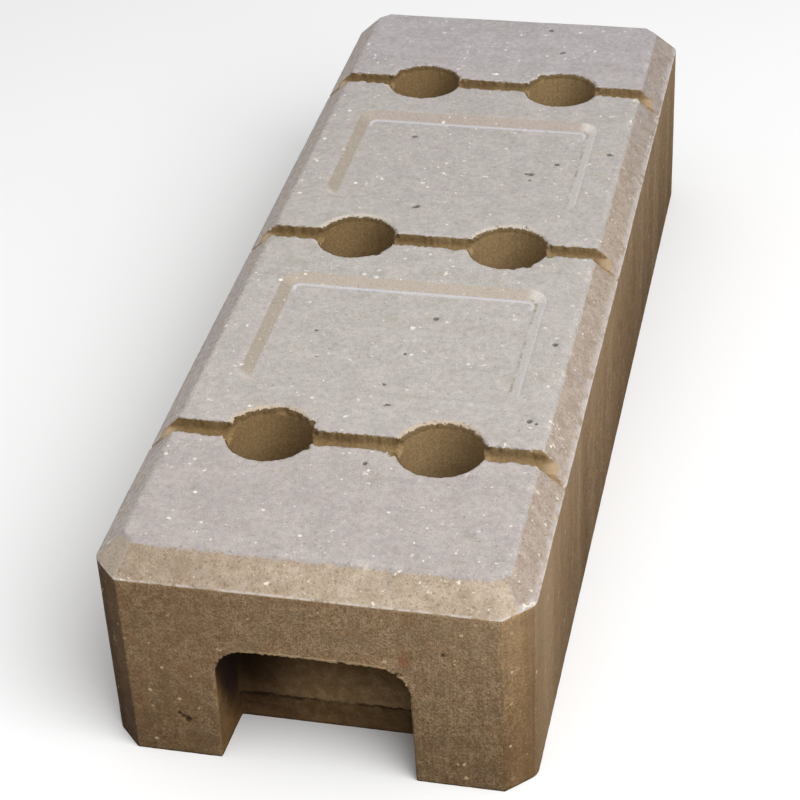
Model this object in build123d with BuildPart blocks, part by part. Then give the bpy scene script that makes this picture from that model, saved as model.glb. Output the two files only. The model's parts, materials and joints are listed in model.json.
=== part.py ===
"""Concrete foot block for site fence posts, cast in one piece.

The block lies on its base with +Z up, its length along Y and its width along X.
The origin is at the centre of the base.
"""

import os

from build123d import *

# Overall size of the cast block
block_width = 230.0
block_length = 645.0
block_height = 132.0

# Cut vertical corners: a crisp edge towards the end and a rounded one towards the long side
corner_cut = 15.0
corner_end_round = 1.5
corner_side_round = 10.0

# Bevel round the top, and the corners of the top face inside it
top_bevel = 15.0
top_corner_cut = 7.0
top_corner_end_round = 1.5
top_corner_side_round = 5.0

# Post holes: pairs across the width, in rows along the length, each with a bevelled rim
hole_diameter = 46.0
hole_rim_bevel = 2.5
hole_rim_angle = 90.0
hole_pair_spacing = 94.4
hole_row_spacing = 207.5
holes_per_row = 2
hole_rows = 3

# Groove across the block through each row of holes
groove_width = 12.0
groove_depth = 8.5
groove_floor_round = 3.0

# Shallow panel with sloping walls between neighbouring rows of holes
panel_width = 160.0
panel_length = 117.0
panel_depth = 4.0
panel_wall_run = 6.5
panel_corner_round = 12.0
panel_floor_corner_round = 6.0

# Hand hold in the foot of each end, open to the floor
hand_hold_width = 106.0
hand_hold_draft = 1.5
hand_hold_height = 77.0
hand_hold_depth = 34.0
hand_hold_corner_round = 18.0
hand_hold_taper_angle = 3.0

# How far the cuts run past the faces that they open
overrun = 10.0

os.makedirs("parts", exist_ok=True)


def block_outline(inset, cut, side_round, end_round):
    """Plan of the block, moved in by an inset, with its corners cut and the cuts' edges rounded."""
    with BuildSketch(Plane.XY) as outline:
        Rectangle(block_width - 2 * inset, block_length - 2 * inset)
        chamfer(outline.vertices(), length=cut)
        near_side, far_side = outline.vertices().group_by(Axis.Y)[1:-1]
        fillet(near_side + far_side, radius=side_round)
        near_end, *_, far_end = outline.vertices().group_by(Axis.Y)
        fillet(near_end + far_end, radius=end_round)
    return outline.sketch


side_outline = block_outline(0, corner_cut, corner_side_round, corner_end_round)
top_outline = block_outline(top_bevel, top_corner_cut, top_corner_side_round, top_corner_end_round)
bevel_foot_height = block_height - top_bevel
half_hand_hold = hand_hold_width / 2
half_hand_hold_top = half_hand_hold - hand_hold_draft

with BuildPart() as block:
    # Straight sides up to the foot of the bevel, then the bevel up to the top face
    with BuildSketch(Plane.XY):
        add(side_outline)
    extrude(amount=bevel_foot_height)
    with BuildSketch(Plane.XY.offset(bevel_foot_height)):
        add(side_outline)
    with BuildSketch(Plane.XY.offset(block_height)):
        add(top_outline)
    loft(ruled=True)

    # Panels pressed into the top face, each halfway between two rows of holes
    for bay in GridLocations(0, hole_row_spacing, 1, hole_rows - 1):
        panel_plane = Plane(bay)
        with BuildSketch(panel_plane.offset(block_height - panel_depth)):
            RectangleRounded(
                panel_width - 2 * panel_wall_run,
                panel_length - 2 * panel_wall_run,
                panel_floor_corner_round,
            )
        with BuildSketch(panel_plane.offset(block_height)):
            RectangleRounded(panel_width, panel_length, panel_corner_round)
        loft(ruled=True, mode=Mode.SUBTRACT)

    # Post holes right through, with their rims bevelled at the top
    with Locations(Plane.XY.offset(block_height)):
        with GridLocations(hole_pair_spacing, hole_row_spacing, holes_per_row, hole_rows):
            CounterSinkHole(
                radius=hole_diameter / 2,
                counter_sink_radius=hole_diameter / 2 + hole_rim_bevel,
                counter_sink_angle=hole_rim_angle,
            )

    # Grooves with rounded floors, right across the block and out through both bevels
    with BuildSketch(Plane.YZ) as groove_section:
        with Locations((0, block_height)):
            with GridLocations(hole_row_spacing, 0, hole_rows, 1):
                Rectangle(groove_width, 2 * groove_depth)
        fillet(groove_section.vertices().group_by(Axis.Y)[0], radius=groove_floor_round)
    extrude(amount=block_width / 2 + overrun, both=True, mode=Mode.SUBTRACT)

    # Hand holds: drafted sides and rounded upper corners, narrowing inwards from each end
    for end_plane in (Plane.front, Plane.back):
        with BuildSketch(end_plane.offset(block_length / 2)) as hand_hold:
            with BuildLine():
                Polyline(
                    (-half_hand_hold, -overrun),
                    (-half_hand_hold, 0),
                    (-half_hand_hold_top, hand_hold_height),
                    (half_hand_hold_top, hand_hold_height),
                    (half_hand_hold, 0),
                    (half_hand_hold, -overrun),
                    close=True,
                )
            make_face()
            fillet(hand_hold.vertices().group_by(Axis.Y)[-1], radius=hand_hold_corner_round)
        extrude(amount=-hand_hold_depth, taper=hand_hold_taper_angle, mode=Mode.SUBTRACT)

block.part.label = "block"
export_step(block.part, "parts/block.step")
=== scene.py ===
import json
import math
import random

import bmesh
import bpy
import numpy as np
from mathutils import Matrix, Vector, noise
from mathutils.kdtree import KDTree


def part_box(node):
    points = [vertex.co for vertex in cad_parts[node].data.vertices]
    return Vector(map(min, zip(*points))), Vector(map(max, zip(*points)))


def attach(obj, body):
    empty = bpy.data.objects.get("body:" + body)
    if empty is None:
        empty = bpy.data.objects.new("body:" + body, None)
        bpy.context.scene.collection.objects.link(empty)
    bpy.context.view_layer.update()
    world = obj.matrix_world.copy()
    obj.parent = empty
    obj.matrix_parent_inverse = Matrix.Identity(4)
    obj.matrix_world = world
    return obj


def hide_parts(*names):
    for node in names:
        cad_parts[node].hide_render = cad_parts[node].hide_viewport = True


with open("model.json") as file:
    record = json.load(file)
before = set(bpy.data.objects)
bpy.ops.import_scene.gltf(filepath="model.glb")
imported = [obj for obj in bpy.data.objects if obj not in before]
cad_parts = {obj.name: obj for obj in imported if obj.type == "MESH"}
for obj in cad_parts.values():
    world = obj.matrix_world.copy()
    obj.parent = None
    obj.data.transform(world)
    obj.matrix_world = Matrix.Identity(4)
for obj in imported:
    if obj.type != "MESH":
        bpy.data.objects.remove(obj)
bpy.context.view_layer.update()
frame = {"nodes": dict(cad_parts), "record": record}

# The block is one piece of stiff concrete, rammed into a steel mould and turned out.
# Its top face came off a press plate and is pale grey. The walls that slid along the mould are painted brown
# and the bevels tan, a painted warm light bounced onto them. Its edges are ragged where the mould pulled
# away, and air has left small pits.
half_width, half_length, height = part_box("block")[1]
mm = 1000
bevel = 0.015
top_corner_cut = 0.007
posts = [mount for mount in frame["record"]["mounts"] if mount["kind"] == "bore"]
hole_radius = posts[0]["dims"]["r_mm"] / mm
pair_offset = max(mount["pos_m"][0] for mount in posts)
row_pitch = max(mount["pos_m"][1] for mount in posts)
groove_half_width = 0.006
groove_depth = 0.0085
panel_half_width = 0.080
panel_half_length = 0.0585
panel_corner = 0.012
panel_wall = 0.0065
panel_depth = 0.004
hold_half_width = 0.053
hold_draft = 0.02
hold_corner = 0.018
hold_height = 0.077
hold_depth = 0.034

# A merged copy of the solid, and points along its sharp edges
merge_gap = 1e-6
sharp_turn = math.radians(30)
edge_step = 0.0003
form = bmesh.new()
form.from_mesh(frame["nodes"]["block"].data)
bmesh.ops.remove_doubles(form, verts=form.verts, dist=merge_gap)
block_mesh = bpy.data.meshes.new("cast_block")
form.to_mesh(block_mesh)
edge_points = []
for edge in form.edges:
    if edge.calc_face_angle(0) > sharp_turn:
        start, end = (vert.co for vert in edge.verts)
        steps = math.ceil(edge.calc_length() / edge_step)
        edge_points += [start.lerp(end, step / steps) for step in range(steps + 1)]
form.free()
block = bpy.data.objects.new("cast_block", block_mesh)
bpy.context.scene.collection.objects.link(block)


def settled(piece):
    """The mesh that a piece's modifiers make of it, as a mesh of its own."""
    graph = bpy.context.evaluated_depsgraph_get()
    return bpy.data.meshes.new_from_object(piece.evaluated_get(graph))


def places(mesh):
    """The points of a mesh as rows of an array."""
    flat = np.empty(len(mesh.vertices) * 3, np.float32)
    mesh.vertices.foreach_get("co", flat)
    return flat.reshape(-1, 3).astype(float)


def ripple(points, size, shift):
    """Smooth noise between about -1 and 1, with lumps of the given size."""
    return np.array([noise.noise(point) for point in (points / size + shift).tolist()])


def near_line(distance, width):
    """1 on a line, falling off smoothly to either side of it."""
    return np.exp(-(distance / width) ** 2)


# An even skin of small faces, whose points next to an edge are drawn onto it so that it stays crisp
draw_in_reach = 0.00075
skin = block.modifiers.new("even_skin", "REMESH")
skin.mode = "VOXEL"
skin.voxel_size = 0.001
crisp_mesh = settled(block)
block.modifiers.clear()
edge_tree = KDTree(len(edge_points))
for index, point in enumerate(edge_points):
    edge_tree.insert(point, index)
edge_tree.balance()
skin_form = bmesh.new()
skin_form.from_mesh(crisp_mesh)
drawn_in = []
for vert in skin_form.verts:
    point, _, gap = edge_tree.find(vert.co)
    if gap < draw_in_reach:
        vert.co = point
        drawn_in.append(vert)
bmesh.ops.remove_doubles(skin_form, verts=drawn_in, dist=merge_gap)
skin_form.to_mesh(crisp_mesh)
skin_form.free()
block.data = crisp_mesh

# The same skin rubbed smooth: where the two differ is at the edges
rub = block.modifiers.new("rubbed", "SMOOTH")
rub.factor = 0.5
rub.iterations = 16
crisp = places(crisp_mesh)
worn = places(settled(block)) - crisp
block.modifiers.clear()
normal = np.empty(len(crisp) * 3, np.float32)
crisp_mesh.vertices.foreach_get("normal", normal)
normal = normal.reshape(-1, 3).astype(float)

# Where each point lies: how deep below the top, and how far from its row of holes and its hole
rim_margin = 0.004
cut_margin = 0.003
groove_margin = 0.001
torn_depth = 0.012
lip_width = 0.004
lip_foot = 0.045
across, along, up = crisp.T
deep = height - up
past_edge = np.abs(across) - (half_width - bevel)
off_row = (along + row_pitch / 2) % row_pitch - row_pitch / 2
off_hole = np.hypot(np.abs(across) - pair_offset, off_row)
above_groove = deep < groove_depth + groove_margin
in_bore = off_hole < hole_radius + rim_margin
in_slot = (np.abs(off_row) < groove_half_width + cut_margin) & above_groove
torn = (deep < torn_depth) & (in_bore | in_slot)
at_end = np.abs(along) > half_length - hold_depth - cut_margin
in_arch = at_end & (np.abs(across) < hold_half_width + cut_margin) & (up < hold_height + cut_margin)
lip = in_arch & (np.abs(along) > half_length - lip_width) & (up > lip_foot)

# Edges torn by the cores are ragged, the lips of the hand holds are notched, and the others nearly straight
top_edge_depth = 0.004
top_edge_wear = 0.4
wall_edge_wear = 0.12
lumps = ripple(crisp, size=0.0045, shift=3.1)
teeth = ripple(crisp, size=0.0021, shift=7.7)
stretch = ripple(crisp, size=0.024, shift=11.3)
ragged = np.clip(0.3 + 1.2 * lumps + 1.2 * teeth + 0.4 * stretch, 0, 2.4)
straight = np.where(deep < top_edge_depth, top_edge_wear, wall_edge_wear) + 0.15 * lumps
notched = np.clip(0.15 + 0.4 * lumps + 0.7 * teeth, 0, 1.2)
wear = np.where(torn, ragged, np.where(lip, notched, straight))
shaped = crisp + worn * wear[:, None]

# Faces are a little uneven in broad waves, except the base, which stays flat on the floor
wave_height = 0.00022
wavelet_height = 0.00007
base_margin = 0.0005
waves = wave_height * ripple(crisp, size=0.055, shift=1.7)
waves = waves + wavelet_height * ripple(crisp, size=0.014, shift=5.9)
waves[up < base_margin] = 0
shaped += normal * waves[:, None]

# The cores scored the walls they slid along, so the edges of holes and grooves are toothed
along_cores = (1, 1, 0.05)
upright = crisp * along_cores
scored = ripple(upright, size=0.0019, shift=13.9) + 0.5 * ripple(upright, size=0.0045, shift=17.3)
groove_opening = 0.0005
by_groove = near_line(np.abs(off_row) - groove_half_width, width=0.0016) * above_groove
by_groove *= off_hole > hole_radius
groove_score = 0.0004 + 0.0011 * near_line(deep, width=0.003)
shaped[:, 1] += np.sign(off_row) * by_groove * (groove_opening + groove_score * scored)
by_hole = near_line(off_hole - hole_radius, width=0.0022)
hole_out = np.stack([np.sign(across) * (np.abs(across) - pair_offset), off_row], axis=1) / off_hole[:, None]
hole_score = 0.0002 + 0.0006 * near_line(deep, width=0.004)
shaped[:, :2] += hole_out * (by_hole * hole_score * scored)[:, None]

# The lip over each hand hold is finely toothed too, with a thin burr on the end face
lip_tooth_height = 0.0010
burr_width = 0.0008
burr_height = 0.0004
along_hold = (1, 0.05, 1)
inward = crisp * along_hold
arch_side = np.maximum(np.abs(across) + hold_draft * up - hold_half_width + hold_corner, 0)
arch_top = np.maximum(up - hold_height + hold_corner, 0)
arch_out = np.stack([arch_side, arch_top], axis=1)
arch_reach = np.linalg.norm(arch_out, axis=1) + 1e-9
arch_out = arch_out / arch_reach[:, None] * (np.sign(across)[:, None] ** (1, 0))
off_arch = arch_reach - hold_corner
lip_grows = np.clip((up - 0.050) / 0.012, 0, 1)
by_lip = near_line(off_arch, width=0.003) * in_arch * lip_grows
lip_tooth = ripple(inward, size=0.0016, shift=19.7) + 0.15 * ripple(inward, size=0.006, shift=23.1)
shaped[:, [0, 2]] += arch_out * (by_lip * lip_tooth_height * lip_tooth)[:, None]
burr = near_line(off_arch, width=0.0015) * (np.abs(along) > half_length - burr_width) * by_lip
shaped[:, 1] += np.sign(along) * burr * burr_height * np.clip(0.4 + stretch + lumps, 0, 1.5)

# Below each groove's end a narrow run goes on down the bevel
bevel_margin = 0.0012
run_start = 0.005
run_middle = 0.0038
run_wander = 0.0012
run_half_width = 0.0020
run_depth = 0.0010
run = (np.abs(deep - past_edge) < bevel_margin) & (past_edge > run_start)
run_dip = np.clip(1 - ((off_row + run_middle + run_wander * stretch) / run_half_width) ** 2, 0, 1)
shaped -= normal * (run * run_dip * run_depth)[:, None]

# The foot of each hand hold's back wall is rougher and lies a little deeper
wall_margin = 0.002
foot_height = 0.0165
foot_wander = 0.0022
foot_start = 0.006
foot_depth = 0.0009
foot_roughness = 0.0006
back_wall = np.abs(np.abs(along) - half_length + hold_depth) < wall_margin
foot = back_wall & (np.abs(across) < hold_half_width - wall_margin)
foot &= up < foot_height + foot_wander * lumps
foot_dip = np.clip(up[foot] / foot_start, 0, 1) * (foot_depth + foot_roughness * teeth[foot])
shaped[foot, 1] -= np.sign(along[foot]) * foot_dip

# Bites out of the rims of holes and grooves: where they lie on the top and how wide they are, in millimetres
bites = [
    (-46, -183.5, 4.0), (-26, -193, 2.6), (-24, -201, 2.6), (-25, -217, 3.0), (-68, -196, 2.6),
    (66, -228, 2.6), (22, -216, 2.6), (-66, 222, 3.0), (31, 226, 3.0), (-72, 202, 3.0), (-31, -17, 3.2),
    (62, -19, 3.2), (54, -22.5, 2.6), (-71, 4, 3.0), (98, -201, 3.2), (16, -6.5, 2.6), (74, -6, 2.6),
    (-20, 214, 3.0),
]
bite_foot = 0.010
bite_share = 0.0006
bitten = np.zeros(len(crisp))
for bite_across, bite_along, width in bites:
    reach = np.hypot(across * mm - bite_across, along * mm - bite_along)
    near = np.flatnonzero((reach < width * 1.5) & (deep < bite_foot))
    dip = np.clip(1 - (reach[near] / (width * (1 + 0.4 * teeth[near]))) ** 2, 0, 1)
    shaped[near, 2] -= bite_share * width * dip * (1 - deep[near] / bite_foot)
    bitten[near] = np.maximum(bitten[near], dip)

# Pits: where they lie on the top and the front end, and how wide they are, in millimetres
top_pits = [
    (90, -176, 2.0), (93.5, -177.5, 1.3), (18, -78, 2.0), (92, -100, 2.0), (-48, -100, 1.4), (10, -172, 2.2),
    (2.5, -147.5, 1.8), (10, -226, 1.8), (-39.5, 136.5, 2.0), (44.5, 97, 2.4), (41.5, 97.5, 1.6),
    (45.5, 89, 1.4), (-18, 40, 2.6), (92, 122, 2.2), (59.5, 112, 2.0), (-41.5, -126.5, 1.2), (8, -116.5, 1.4),
    (27, 296, 2.0), (40, 262, 2.2),
]
front_pits = [
    (-69.5, 24.5, 2.1), (-72, 26.5, 1.6), (-74, 28.5, 1.2), (44, 73.2, 1.1), (45.8, 73.8, 1.4),
    (47.6, 73.2, 1.0), (-88, 99, 1.1), (70, 90, 1.2),
]
half_pitch = row_pitch * mm / 2
pits = []
for pit_across, pit_along, width in top_pits:
    sunk = abs(pit_across) < (panel_half_width - panel_wall) * mm
    sunk = sunk and abs(abs(pit_along) - half_pitch) < (panel_half_length - panel_wall) * mm
    pit_up = (height - panel_depth * sunk) * mm
    pits.append((Vector((pit_across, pit_along, pit_up)), Vector((0, 0, -1)), width))
for pit_across, pit_up, width in front_pits:
    pits.append((Vector((pit_across, -half_length * mm, pit_up)), Vector((0, 1, 0)), width))

# More pits, strewn over the long sides, the far end above its hand hold, and the base
pits_a_side = 26
pits_on_far_end = 12
pits_a_base_half = 20
wall_foot = 6
wall_top = 112
above_hold = 84
wall_pit_widths = (1.1, 2.2)
base_pit_widths = (1.4, 3.2)
scatter = random.Random(41)
for side in (-1, 1):
    for _ in range(pits_a_side):
        pit_along = scatter.uniform(-half_length, half_length) * 950
        spot = Vector((side * half_width * mm, pit_along, scatter.uniform(wall_foot, wall_top)))
        pits.append((spot, Vector((-side, 0, 0)), scatter.uniform(*wall_pit_widths)))
for _ in range(pits_on_far_end):
    pit_across = scatter.uniform(-half_width, half_width) * 850
    spot = Vector((pit_across, half_length * mm, scatter.uniform(above_hold, wall_top)))
    pits.append((spot, Vector((0, -1, 0)), scatter.uniform(*wall_pit_widths)))
for side in (-1, 1):
    for _ in range(pits_a_base_half):
        pit_across = scatter.uniform(-half_width, half_width) * 900
        pit_along = row_pitch * (side * mm / 2 + scatter.uniform(-330, 330))
        spot = Vector((pit_across, pit_along, 0))
        pits.append((spot, Vector((0, 0, 1)), scatter.uniform(*base_pit_widths)))
pit_share = 0.0008
pitted = np.zeros(len(crisp))
for spot, inwards, width in pits:
    reach = np.linalg.norm(crisp * mm - np.array(spot), axis=1)
    near = np.flatnonzero(reach < width * 1.6)
    dip = np.clip(1 - (reach[near] / (width * (1 + 0.6 * teeth[near]))) ** 2, 0, 1)
    shaped[near] += np.array(inwards) * (pit_share * width * dip)[:, None]
    pitted[near] = np.maximum(pitted[near], dip)

# The mesh carries where its pits, bites and outer edges are, for the paint
full_ridge = 0.0005
ridge = np.clip(-np.einsum("ij,ij->i", worn, normal) / full_ridge, 0, 1)
for name, values in (("pit", pitted), ("bite", bitten), ("ridge", ridge)):
    layer = crisp_mesh.attributes.new(name, "FLOAT", "POINT")
    layer.data.foreach_set("value", values.astype(np.float32))
crisp_mesh.vertices.foreach_set("co", shaped.astype(np.float32).ravel())
block.data = crisp_mesh

# Flat stretches need few faces, so the skin is thinned there
triangle_limit = 190000
thin = block.modifiers.new("thinned", "DECIMATE")
thin.ratio = triangle_limit / (2 * len(crisp_mesh.polygons))
block.data = settled(block)
block.data.name = "cast_block"
block.modifiers.clear()
block.data.shade_smooth()

concrete = bpy.data.materials.new("concrete")
concrete.use_nodes = True
tree = concrete.node_tree
tree.nodes.clear()


def fed(socket, value):
    """Sets a socket to a number or colour, or links it to another node's output."""
    if isinstance(value, bpy.types.NodeSocket):
        tree.links.new(value, socket)
    else:
        socket.default_value = value


def joined(kind, **inputs):
    """A new node of the given kind, with its named inputs set or linked."""
    node = tree.nodes.new(kind)
    for name, value in inputs.items():
        fed(node.inputs[name], value)
    return node


def calc(operation, *values):
    """The output of one Math node."""
    node = tree.nodes.new("ShaderNodeMath")
    node.operation = operation
    for socket, value in zip(node.inputs, values):
        fed(socket, value)
    return node.outputs[0]


def rise(value, start, end):
    """A smooth step from 0 at start to 1 at end, which may be the lower of the two."""
    node = joined("ShaderNodeMapRange", **{"Value": value, "From Min": start, "From Max": end})
    node.interpolation_type = "SMOOTHSTEP"
    return node.outputs["Result"]


def overlap(*masks):
    """Where all the masks are, each with its share."""
    shared = masks[0]
    for mask in masks[1:]:
        shared = calc("MULTIPLY", shared, mask)
    return shared


def outside(mask):
    """Where a mask is not."""
    return calc("SUBTRACT", 1.0, mask)


def apart(value, middle):
    """How far a value lies from a middle one."""
    return calc("ABSOLUTE", calc("SUBTRACT", value, middle))


def slant(first, second):
    """The length of a line from its two legs."""
    return calc("SQRT", calc("ADD", calc("POWER", first, 2.0), calc("POWER", second, 2.0)))


def past_rounded(first, second, half_first, half_second, corner):
    """How far a place lies outside a rectangle with rounded corners, or inside it as a negative length."""
    first_out = calc("SUBTRACT", first, half_first - corner)
    second_out = calc("SUBTRACT", second, half_second - corner)
    round_out = slant(calc("MAXIMUM", first_out, 0.0), calc("MAXIMUM", second_out, 0.0))
    flat_in = calc("MINIMUM", calc("MAXIMUM", first_out, second_out), 0.0)
    return calc("SUBTRACT", calc("ADD", round_out, flat_in), corner)


def carried(name):
    """A value that the mesh carries at its points."""
    node = tree.nodes.new("ShaderNodeAttribute")
    node.attribute_name = name
    return node.outputs["Fac"]


def clouds(where, size, detail=2.0, roughness=0.55):
    """Noise with lumps of the given size in millimetres."""
    node = joined("ShaderNodeTexNoise", Vector=where, Scale=1 / size, Detail=detail, Roughness=roughness)
    return node.outputs["Fac"]


def three_clouds(where, size, detail=2.0):
    """Three noises that have nothing to do with each other, with lumps of the same size."""
    node = joined("ShaderNodeTexNoise", Vector=where, Scale=1 / size, Detail=detail)
    parts = joined("ShaderNodeSeparateColor", Color=node.outputs["Color"])
    return parts.outputs["Red"], parts.outputs["Green"], parts.outputs["Blue"]


def tone(red, green, blue):
    """A colour given as it looks on screen, from 0 to 255."""
    shares = [value / 255 for value in (red, green, blue)]
    return (*(((share + 0.055) / 1.055) ** 2.4 for share in shares), 1.0)


def laid(mask, under, over, mode="MIX"):
    """A colour laid over another where the mask is 1."""
    node = tree.nodes.new("ShaderNodeMix")
    node.data_type = "RGBA"
    node.blend_type = mode
    for index, value in ((0, mask), (6, under), (7, over)):
        fed(node.inputs[index], value)
    return node.outputs[2]


def shaded(mask, under, over):
    """A colour darkened by another where the mask is 1."""
    return laid(mask, under, over, "MULTIPLY")


def mottled(under, pattern, start, end, dark, mask=1.0):
    """A colour that is darker in the low parts of a pattern."""
    return shaded(mask, under, laid(rise(pattern, start, end), dark, tone(255, 255, 255)))


# Places on the block in millimetres, and how far each lies from its edges, holes and panels
coordinates = tree.nodes.new("ShaderNodeTexCoord")
scaled = tree.nodes.new("ShaderNodeVectorMath")
scaled.operation = "SCALE"
fed(scaled.inputs["Vector"], coordinates.outputs["Object"])
fed(scaled.inputs["Scale"], mm)
place = scaled.outputs["Vector"]
axes = joined("ShaderNodeSeparateXYZ", Vector=place)
x, y, z = axes.outputs["X"], axes.outputs["Y"], axes.outputs["Z"]
mottle = clouds(place, 4.0, detail=3.0)
grain = clouds(place, 1.2, detail=3.0, roughness=0.62)
wobble = calc("MULTIPLY_ADD", mottle, 4.0, -2.0)
depth = calc("SUBTRACT", height * mm, z)
wide = calc("ABSOLUTE", x)
long = calc("ABSOLUTE", y)
on_left = rise(x, 0.0, -1.0)
past_side = calc("SUBTRACT", wide, (half_width - bevel) * mm)
past_end = calc("SUBTRACT", long, (half_length - bevel) * mm)
past_both = calc("ADD", calc("ADD", past_side, past_end), top_corner_cut * mm)
past_corner = calc("MULTIPLY", past_both, math.sqrt(0.5))
past_top = calc("MAXIMUM", calc("MAXIMUM", past_side, past_end), past_corner)
from_row = calc("WRAP", y, half_pitch, -half_pitch)
from_bay = calc("WRAP", calc("ADD", y, half_pitch), half_pitch, -half_pitch)
hole_x = calc("MULTIPLY", calc("SUBTRACT", wide, pair_offset * mm), calc("SIGN", x))
from_hole = slant(hole_x, from_row)
past_panel = past_rounded(wide, calc("ABSOLUTE", from_bay), panel_half_width * mm, panel_half_length * mm,
                          panel_corner * mm)
past_hold = past_rounded(calc("MULTIPLY_ADD", z, hold_draft, wide), z, hold_half_width * mm, hold_height * mm,
                         hold_corner * mm)
end_face = half_length * mm
hold_back = end_face - hold_depth * mm

# Which skin a place wears: pressed top, panel wall, bevel, moulded side, cored hole or groove, or hand hold
in_bay = rise(long, row_pitch * mm, row_pitch * mm - 1.0)
in_panel = overlap(rise(past_panel, 0.6, -0.6), in_bay, rise(depth, 7.0, 5.0))
panel_edge = calc("MULTIPLY_ADD", wobble, 0.7, past_panel)
panel_slope = overlap(rise(panel_edge, 1.0, -0.6), rise(panel_edge, -7.6, -5.8), in_panel)
past_left = calc("SUBTRACT", past_side, calc("MAXIMUM", past_end, past_corner))
bevel_left = overlap(rise(past_left, -0.6, 0.6), on_left)
bevel_right = overlap(rise(calc("SUBTRACT", past_side, past_end), -3.0, 3.0), rise(x, 0.0, 1.0))
top_ends = calc("MULTIPLY_ADD", overlap(bevel_left, rise(past_side, -1.0, 0.0)), 1.4, depth)
on_top = calc("MAXIMUM", rise(calc("MULTIPLY_ADD", wobble, 0.9, top_ends), 2.4, 1.2), in_panel)
on_bevel = overlap(rise(depth, 15.4, 14.8), rise(past_top, -1.5, -0.5))
bite = carried("bite")
groove_edge = calc("MULTIPLY_ADD", bite, -2.0, calc("ABSOLUTE", from_row))
in_groove = overlap(rise(groove_edge, 7.6, 6.8), rise(depth, 0.3, 0.8), rise(depth, 10.0, 9.4))
hole_edge = calc("MULTIPLY_ADD", wobble, 0.5, calc("SUBTRACT", from_hole, 1.2))
hole_edge = calc("MULTIPLY_ADD", grain, 2.4, hole_edge)
hole_edge = calc("MULTIPLY_ADD", bite, -3.0, hole_edge)
in_hole = overlap(rise(hole_edge, 24.7, 24.1), rise(depth, 0.4, 1.0))
cored = calc("MAXIMUM", in_groove, in_hole)
far_left = calc("ADD", calc("MULTIPLY", hole_x, -0.6), calc("MULTIPLY", from_row, 0.8))
on_rim = overlap(rise(from_hole, 27.4, 25.4), rise(depth, 3.6, 2.6), rise(far_left, -6.0, 17.0))
moulded = overlap(outside(on_bevel), outside(on_top), outside(cored))
pressed = overlap(outside(moulded), outside(cored))
in_hold = overlap(rise(past_hold, 1.6, 0.4), rise(long, end_face - 0.8, end_face - 2.0),
                  rise(long, hold_back - 3.0, hold_back - 2.0))
open_wall = overlap(moulded, outside(in_hold))
corner_sum = (half_width + half_length) * mm
facet = rise(calc("ADD", wide, long), corner_sum - 15.9, corner_sum - 15.3)

# Sand in the paste, hue that drifts over thumb-sized patches, and flecks that crowd in some places
sand = clouds(place, 0.8, roughness=0.7)
warmth, stain, light = three_clouds(place, 13.0, detail=3.0)
fleck, speck, crumb = three_clouds(place, 1.9, detail=1.5)
chip, _, blot = three_clouds(place, 4.6)
crowd = calc("MULTIPLY_ADD", clouds(place, 24.0), 0.2, -0.1)
patchy = clouds(place, 7.0)
brushed = calc("ADD", calc("MULTIPLY", clouds(place, 1.8, detail=3.0, roughness=0.6), 0.55),
               calc("MULTIPLY", clouds(place, 0.9, roughness=0.6), 0.45))

# Marks drawn out upwards, as the block slid from its mould
drawn = joined("ShaderNodeMapping", Vector=place, Scale=(1.0, 1.0, 0.04)).outputs["Vector"]
dragged = clouds(drawn, 1.5, detail=3.0, roughness=0.65)
banded = clouds(drawn, 15.0)
broad = clouds(drawn, 42.0)

# The brown of walls that slid along the mould, a painted warm light, with painted shade towards the foot and
# to the left of each end
brown = laid(rise(brushed, 0.34, 0.66), tone(136, 111, 82), tone(194, 167, 133))
brown = laid(overlap(rise(x, 40.0, -60.0), 0.12), brown, tone(166, 140, 109))
brown = mottled(brown, patchy, 0.34, 0.66, tone(230, 226, 220))
brown = laid(overlap(rise(mottle, 0.42, 0.62), 0.22), brown, tone(138, 113, 82))
brown = laid(overlap(rise(warmth, 0.46, 0.68), 0.3), brown, tone(150, 113, 77))
brown = laid(overlap(rise(stain, 0.5, 0.72), 0.35), brown, tone(132, 118, 96))
# Painted shade: darker towards the foot of each wall
brown = shaded(overlap(rise(z, 75.0, 0.0), 0.7), brown, tone(200, 194, 186))
# Painted shade: darker to the left of each end, the side away from the light
by_end = rise(long, end_face - 40.0, end_face - 15.0)
brown = shaded(overlap(rise(x, 60.0, -110.0), by_end, 0.62), brown, tone(220, 211, 200))

# Its upright streaks, strongest to the right, and painted light on the right side towards the near end and
# high up on the right
streaky = calc("MULTIPLY_ADD", rise(x, 46.0, 54.0), 0.4, 0.1)
brown = mottled(brown, dragged, 0.3, 0.7, tone(205, 198, 190), streaky)
streaked = calc("MULTIPLY_ADD", rise(x, -1.0, 1.0), 0.5, 0.5)
brown = mottled(brown, banded, 0.35, 0.65, tone(238, 233, 226), overlap(rise(wide, 100.0, 114.0), streaked))
# Painted light: the right side paler towards the near end
brown = laid(overlap(rise(x, 100.0, 114.0), rise(y, -130.0, -310.0), 0.35), brown, tone(188, 160, 124))
brown = mottled(brown, broad, 0.36, 0.64, tone(230, 226, 222), overlap(rise(wide, 112.0, 114.5), streaked))
# Painted light: paler high up on the right
brown = laid(overlap(rise(x, 40.0, 90.0), rise(z, 60.0, 115.0), 0.22), brown, tone(196, 170, 136))

# Painted shade on its cut corners, darker towards the foot and most on the left one, and one rusty spot
# beside the front hand hold
brown = shaded(facet, brown, laid(rise(z, 20.0, 105.0), tone(240, 232, 220), tone(255, 250, 240)))
brown = shaded(overlap(facet, rise(wide, 106.0, 111.0)), brown, tone(226, 224, 220))
brown = shaded(overlap(facet, on_left), brown, tone(216, 218, 230))
from_rust = slant(calc("SUBTRACT", x, 50.0), calc("MULTIPLY_ADD", z, 0.6, -49.8))
rusty = overlap(rise(calc("ADD", from_rust, wobble), 4.0, 1.0), rise(y, 0.0, -1.0), 0.45)
brown = laid(rusty, brown, tone(150, 84, 48))
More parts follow.
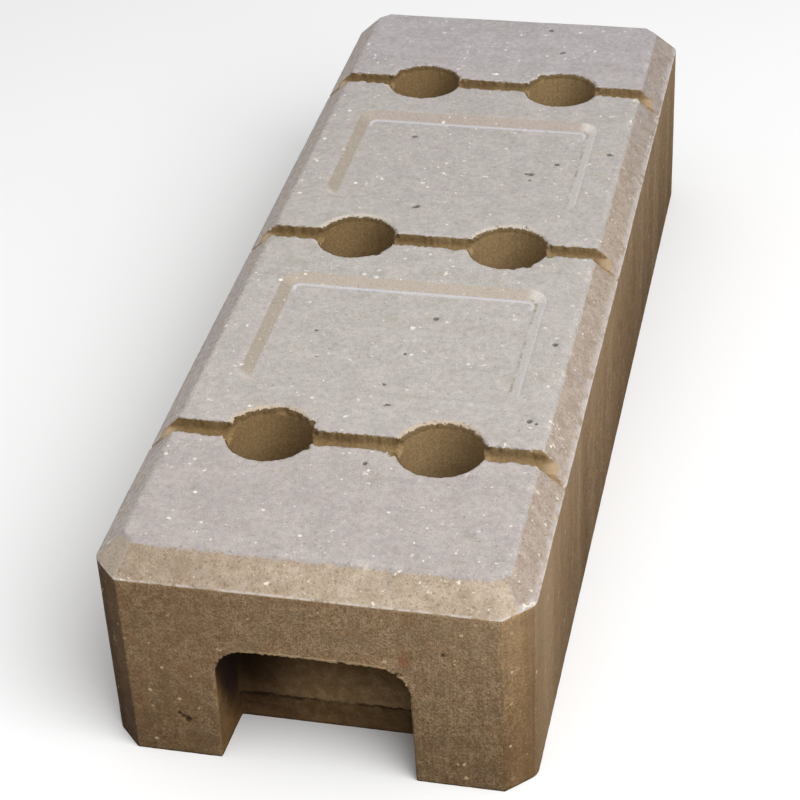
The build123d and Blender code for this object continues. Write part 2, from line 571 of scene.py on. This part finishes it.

# The tan of the bevel, a painted warm light, with painted shade towards the left, and a paler grey along the
# left side, which that warm light misses
tan = laid(rise(brushed, 0.3, 0.7), tone(184, 166, 146), tone(202, 186, 167))
tan = laid(overlap(rise(warmth, 0.5, 0.7), 0.5), tan, tone(178, 158, 134))
tan = laid(overlap(rise(stain, 0.55, 0.75), 0.6), tan, tone(186, 176, 166))
tan = laid(overlap(rise(crumb, 0.56, 0.68), 0.35), tan, tone(150, 126, 98))
# Painted shade: the bevel darker towards the left
tan = shaded(rise(x, 30.0, -110.0), tan, tone(230, 226, 222))
tan = mottled(tan, patchy, 0.34, 0.66, tone(236, 234, 232))
right_tone = laid(rise(y, 40.0, 220.0), tone(236, 238, 246), tone(227, 232, 247))
tan = shaded(bevel_right, tan, right_tone)
on_corner = rise(calc("SUBTRACT", past_corner, calc("MAXIMUM", past_side, past_end)), -0.4, 0.4)
tan = laid(overlap(on_corner, on_left, 0.45), tan, tone(206, 195, 182))
left_tone = laid(rise(mottle, 0.36, 0.6), tone(191, 181, 173), tone(212, 203, 196))
tan = laid(bevel_left, tan, left_tone)
colour = laid(on_bevel, brown, tan)

# The pale grey of the top
grey = laid(rise(y, -230.0, -130.0), tone(200, 193, 190), tone(199, 194, 190))
grey = laid(rise(y, -20.0, 80.0), grey, tone(196, 191, 188))
grey = laid(rise(y, 180.0, 260.0), grey, tone(198, 193, 195))
grey = shaded(1.0, grey, laid(rise(warmth, 0.35, 0.65), tone(255, 253, 252), tone(253, 254, 252)))
grey = laid(overlap(rise(stain, 0.58, 0.74), 0.3), grey, tone(178, 172, 152))
grey = mottled(grey, light, 0.35, 0.65, tone(245, 245, 245))
grey = mottled(grey, mottle, 0.35, 0.65, tone(240, 240, 241))
grey = mottled(grey, grain, 0.3, 0.7, tone(243, 242, 241))
top_ends_shade = calc("MAXIMUM", rise(y, -200.0, -240.0), rise(y, 200.0, 240.0))
grey = shaded(top_ends_shade, grey, tone(248, 247, 248))
colour = laid(on_top, colour, grey)
scuff = overlap(rise(apart(past_top, 0.5), 3.5, 0.5), rise(light, 0.56, 0.68), rise(mottle, 0.42, 0.56))
scuff = overlap(scuff, rise(depth, 6.0, 4.0), rise(x, -80.0, -60.0), 0.55)
colour = laid(scuff, colour, tone(220, 211, 200))

# The sloping walls of the panels, painted for the light: a painted warm light on the far wall and a darker
# one on the left wall, the near and right walls painted pale against their shade, a painted highlight along
# the far wall's foot and painted shade along the right wall's foot
colour = laid(overlap(panel_slope, rise(x, -66.0, -73.0), 0.8), colour, tone(160, 149, 134))
far_tone = laid(rise(y, 0.0, 100.0), tone(181, 169, 156), tone(176, 164, 154))
colour = laid(overlap(panel_slope, rise(from_bay, 44.0, 52.0), 0.85), colour, far_tone)
far_foot_highlight = overlap(rise(apart(past_panel, -8.2), 1.8, 0.6), rise(from_bay, 40.0, 46.0), in_panel, 0.6)
colour = laid(far_foot_highlight, colour, tone(210, 210, 219))
colour = laid(overlap(panel_slope, rise(from_bay, -44.0, -52.0), 0.8), colour, tone(205, 199, 193))
colour = laid(overlap(panel_slope, rise(x, 66.0, 73.0), 0.9), colour, tone(218, 213, 209))
right_foot_shade = overlap(rise(apart(panel_edge, -6.2), 1.5, 0.4), rise(x, 66.0, 72.0), in_panel)
right_foot_shade = overlap(right_foot_shade, rise(mottle, 0.36, 0.56), rise(light, 0.3, 0.6))
colour = laid(right_foot_shade, colour, tone(166, 154, 140))

# The tan on the far left of the bevelled rims of the holes, a painted warm light, and the olive brown that
# the cores left in holes and grooves, with painted shade in the grooves and just under each hole's rim
lit_rim_tone = laid(rise(y, -150.0, 0.0), tone(194, 179, 160), tone(200, 191, 180))
colour = laid(overlap(on_rim, rise(y, 260.0, 60.0)), colour, lit_rim_tone)
core_brown = laid(rise(brushed, 0.3, 0.7), tone(138, 114, 79), tone(166, 141, 103))
core_brown = shaded(on_left, core_brown, tone(238, 234, 228))
# Painted shade in the grooves
core_brown = shaded(rise(from_hole, 25.0, 27.0), core_brown, tone(228, 228, 226))
# Painted shade just under each hole's rim, where the bevel faces the light
under_rim_shade = overlap(rise(from_hole, 27.0, 26.0), rise(depth, 4.5, 2.5))
core_brown = shaded(under_rim_shade, core_brown, tone(186, 184, 180))
run_out = overlap(rise(calc("ADD", past_side, wobble), -1.0, 7.0), on_bevel, rise(depth, 6.0, 8.0), 0.8)
core_brown = laid(run_out, core_brown, tone(180, 157, 128))
colour = laid(cored, colour, core_brown)
from_run = calc("ABSOLUTE", calc("MULTIPLY_ADD", wobble, 0.8, calc("ADD", from_row, run_middle * mm)))
run_line = overlap(rise(from_run, 2.6, 1.2), rise(past_side, 2.0, 5.0), on_bevel, 0.75)
colour = laid(run_line, colour, tone(140, 110, 72))

# The hand holds, darkened by painted shade inside, on their side walls and deeper in, with a slanting painted
# shadow over the upper left corner; and the foot of the back wall with its ledge
# Painted shade over the whole inside of each hand hold
colour = laid(overlap(in_hold, 0.5), colour, tone(160, 130, 92))
hold_side = rise(long, hold_back + 1.5, hold_back + 3.0)
# Painted shade on the side walls
colour = shaded(overlap(in_hold, hold_side), colour, tone(220, 208, 186))
uneven_z = calc("ADD", z, wobble)
hold_foot = overlap(rise(long, hold_back + 3.0, hold_back + 1.5), rise(uneven_z, 19.0, 15.0))
colour = shaded(overlap(in_hold, hold_foot), colour, tone(192, 184, 174))
hold_ledge = overlap(rise(apart(uneven_z, 17.0), 1.8, 0.6), in_hold, outside(hold_side))
colour = shaded(overlap(hold_ledge, rise(light, 0.42, 0.56)), colour, tone(150, 138, 122))
colour = mottled(colour, patchy, 0.36, 0.64, tone(232, 228, 220), in_hold)
# Painted shade, deepening inwards and upwards
hold_inner_shade = overlap(in_hold, rise(long, end_face - 3.0, end_face - 24.0), rise(z, 14.0, 50.0))
colour = shaded(hold_inner_shade, colour, tone(182, 173, 160))
# A painted shadow with a slanting edge over the upper left corner
hold_shadow_edge = rise(calc("MULTIPLY_ADD", z, 0.55, calc("SUBTRACT", end_face, long)), 20.0, 38.0)
hold_corner_shade = overlap(rise(x, -5.0, -42.0), rise(z, -25.0, 40.0), hold_shadow_edge)
colour = shaded(overlap(in_hold, hold_corner_shade), colour, tone(98, 80, 56))

# Sand grains and small pale flecks
colour = mottled(colour, sand, 0.25, 0.75, tone(230, 228, 226), calc("MULTIPLY_ADD", pressed, 0.5, 0.5))
crowded = calc("ADD", fleck, crowd)
colour = laid(overlap(rise(crowded, 0.69, 0.79), pressed, 0.45), colour, tone(236, 228, 216))
colour = laid(overlap(rise(crowded, 0.70, 0.78), open_wall, 0.4), colour, tone(214, 186, 148))

# Pale stones that show at the surface, each with its own size and paleness
stone_spacing = 8.0
stones = joined("ShaderNodeTexVoronoi", Vector=place, Scale=1 / stone_spacing)
stone_kind = joined("ShaderNodeSeparateColor", Color=stones.outputs["Color"])
stone_chance = stone_kind.outputs["Red"]
paleness = calc("MULTIPLY_ADD", stone_kind.outputs["Green"], 0.75, 0.15)
stone_reach = calc("MULTIPLY_ADD", crowd, 6.0, 0.2)
stone_reach = calc("MULTIPLY_ADD", calc("POWER", stone_chance, 3.0), 1.4, stone_reach)
stone_out = calc("MULTIPLY_ADD", stones.outputs["Distance"], stone_spacing, -0.6)
stone_out = calc("MULTIPLY_ADD", grain, 1.2, stone_out)
stone = overlap(rise(calc("SUBTRACT", stone_reach, stone_out), -0.1, 0.35), paleness)
on_pressed = overlap(stone, pressed, calc("MULTIPLY_ADD", bevel_right, -0.6, 1.0))
colour = laid(on_pressed, colour, laid(on_top, tone(236, 222, 198), tone(240, 236, 230)))
colour = laid(overlap(stone, open_wall, rise(stone_chance, 0.8, 0.9)), colour, tone(220, 194, 154))

# Larger pale chips, dull blots, bright sand and dark specks
chipped = calc("ADD", chip, crowd)
colour = laid(overlap(rise(chipped, 0.69, 0.75), pressed, 0.75), colour, tone(236, 228, 214))
colour = laid(overlap(rise(chipped, 0.71, 0.75), open_wall, 0.75), colour, tone(222, 196, 156))
colour = laid(overlap(rise(blot, 0.68, 0.74), pressed, 0.4), colour, tone(150, 142, 134))
colour = laid(overlap(rise(sand, 0.64, 0.78), pressed, 0.25), colour, tone(240, 234, 226))
specked = overlap(rise(speck, 0.37, 0.27), calc("MULTIPLY_ADD", cored, -0.2, 0.4))
colour = shaded(specked, colour, tone(172, 164, 156))
colour = laid(overlap(rise(crumb, 0.64, 0.74), on_bevel, 0.5), colour, tone(140, 112, 82))

# A pale lip along the foot of the bevel and over each hand hold, and shade in the pits
bevel_foot = overlap(rise(apart(depth, bevel * mm), 0.9, 0.3), rise(past_top, 7.0, 7.4))
colour = laid(overlap(bevel_foot, rise(mottle, 0.36, 0.58), 0.55), colour, tone(214, 206, 200))
side_lip = overlap(rise(calc("MULTIPLY_ADD", wobble, 1.4, depth), 11.0, 15.0), on_bevel, bevel_right)
colour = laid(overlap(side_lip, rise(stain, 0.36, 0.5), 0.45), colour, tone(208, 202, 202))
hold_lip = overlap(rise(carried("ridge"), 0.2, 0.5), rise(z, 60.0, 70.0), rise(x, -46.0, -34.0))
hold_lip = overlap(hold_lip, rise(apart(past_hold, 0.0), 3.5, 2.5), rise(mottle, 0.3, 0.46), 0.6)
colour = laid(hold_lip, colour, tone(228, 198, 152))
colour = shaded(rise(carried("pit"), 0.05, 0.6), colour, tone(158, 155, 152))

# Fine relief of grain and sand, with brushed and dragged marks on the outer walls
relief = calc("ADD", calc("MULTIPLY", grain, 0.7), calc("MULTIPLY", sand, 0.5))
outer_wall = overlap(rise(depth, 14.8, 15.4), rise(from_hole, 25.0, 27.0))
relief = calc("MULTIPLY_ADD", overlap(outer_wall, dragged), 0.25, relief)
relief = calc("MULTIPLY_ADD", overlap(outer_wall, brushed), 0.8, relief)
bump = joined("ShaderNodeBump", Height=relief, Strength=0.65, Distance=0.0007)
surface = joined("ShaderNodeBsdfPrincipled", **{
    "Base Color": colour, "Roughness": 0.95, "Specular IOR Level": 0.15, "Normal": bump.outputs["Normal"]})
joined("ShaderNodeOutputMaterial", Surface=surface.outputs["BSDF"])
block.data.materials.clear()
block.data.materials.append(concrete)

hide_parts("block")
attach(block, "root")

# The floor is a plain pale sheet under the block, wide enough to fill the picture from any side.
# It looks pale to the camera and in reflections, and throws little light back onto the block.
sheet_reach = 6.0
sheet = bmesh.new()
bmesh.ops.create_grid(sheet, x_segments=1, y_segments=1, size=sheet_reach)
floor_mesh = bpy.data.meshes.new("floor")
sheet.to_mesh(floor_mesh)
sheet.free()
floor = bpy.data.objects.new("floor", floor_mesh)
bpy.context.scene.collection.objects.link(floor)
pale = bpy.data.materials.new("pale_floor")
pale.use_nodes = True
pale_tree = pale.node_tree
seen = pale_tree.nodes.new("ShaderNodeLightPath")
shade = pale_tree.nodes.new("ShaderNodeMix")
shade.data_type = "RGBA"
shade.inputs[6].default_value = (0.20, 0.20, 0.20, 1.0)
shade.inputs[7].default_value = (0.88, 0.88, 0.88, 1.0)
mirrored = pale_tree.nodes.new("ShaderNodeMath")
mirrored.operation = "MAXIMUM"
in_view = pale_tree.nodes.new("ShaderNodeMath")
in_view.operation = "MAXIMUM"
pale_tree.links.new(seen.outputs["Is Glossy Ray"], mirrored.inputs[0])
pale_tree.links.new(seen.outputs["Is Transmission Ray"], mirrored.inputs[1])
pale_tree.links.new(seen.outputs["Is Camera Ray"], in_view.inputs[0])
pale_tree.links.new(mirrored.outputs[0], in_view.inputs[1])
pale_tree.links.new(in_view.outputs[0], shade.inputs[0])
pale_surface = pale_tree.nodes["Principled BSDF"]
pale_surface.inputs["Roughness"].default_value = 0.9
pale_surface.inputs["Specular IOR Level"].default_value = 0.1
pale_tree.links.new(shade.outputs[2], pale_surface.inputs["Base Color"])
floor_mesh.materials.append(pale)

# The light is a plain white sky that is brighter overhead, with one broad soft lamp above the near end
# and to its right, aimed at the block.
world = bpy.data.worlds.new("sky")
world.use_nodes = True
sky = world.node_tree
towards = sky.nodes.new("ShaderNodeTexCoord")
sky_axes = sky.nodes.new("ShaderNodeSeparateXYZ")
overhead = sky.nodes.new("ShaderNodeMapRange")
overhead.inputs["To Min"].default_value = 0.24
overhead.inputs["To Max"].default_value = 0.77
sky.links.new(towards.outputs["Generated"], sky_axes.inputs["Vector"])
sky.links.new(sky_axes.outputs["Z"], overhead.inputs["Value"])
sky.links.new(overhead.outputs["Result"], sky.nodes["Background"].inputs["Strength"])
sky.nodes["Background"].inputs["Color"].default_value = (1.0, 1.0, 1.0, 1.0)
bpy.context.scene.world = world
lamp = bpy.data.lights.new("soft_lamp", "AREA")
lamp.shape = "DISK"
lamp.size = 2.4
lamp.energy = 65
lamp_object = bpy.data.objects.new("soft_lamp", lamp)
lamp_place = Vector((1.25, -1.15, 1.95))
lamp_aim = Vector((0, -0.1, 0.1))
lamp_object.location = lamp_place
lamp_object.rotation_euler = (lamp_aim - lamp_place).to_track_quat("-Z", "Y").to_euler()
bpy.context.scene.collection.objects.link(lamp_object)

# The camera stands where the photograph was taken from: in front, to the right and looking down.
# Its place and turn were fitted to the holes, corners and edges that the photograph shows.
view_point = Vector((0.2566, -1.1373, 0.8375))
view_right = Vector((0.97658, 0.21085, -0.04275))
view_down = Vector((0.08768, -0.57150, -0.81590))
lens = bpy.data.cameras.new("camera")
lens.lens = 100.3
lens.sensor_width = 36.0
camera = bpy.data.objects.new("camera", lens)
turn = Matrix((view_right, -view_down, view_right.cross(-view_down))).transposed()
camera.matrix_world = Matrix.Translation(view_point) @ turn.to_4x4()
bpy.context.scene.collection.objects.link(camera)
bpy.context.scene.camera = camera
bpy.context.scene.view_settings.view_transform = "Standard"
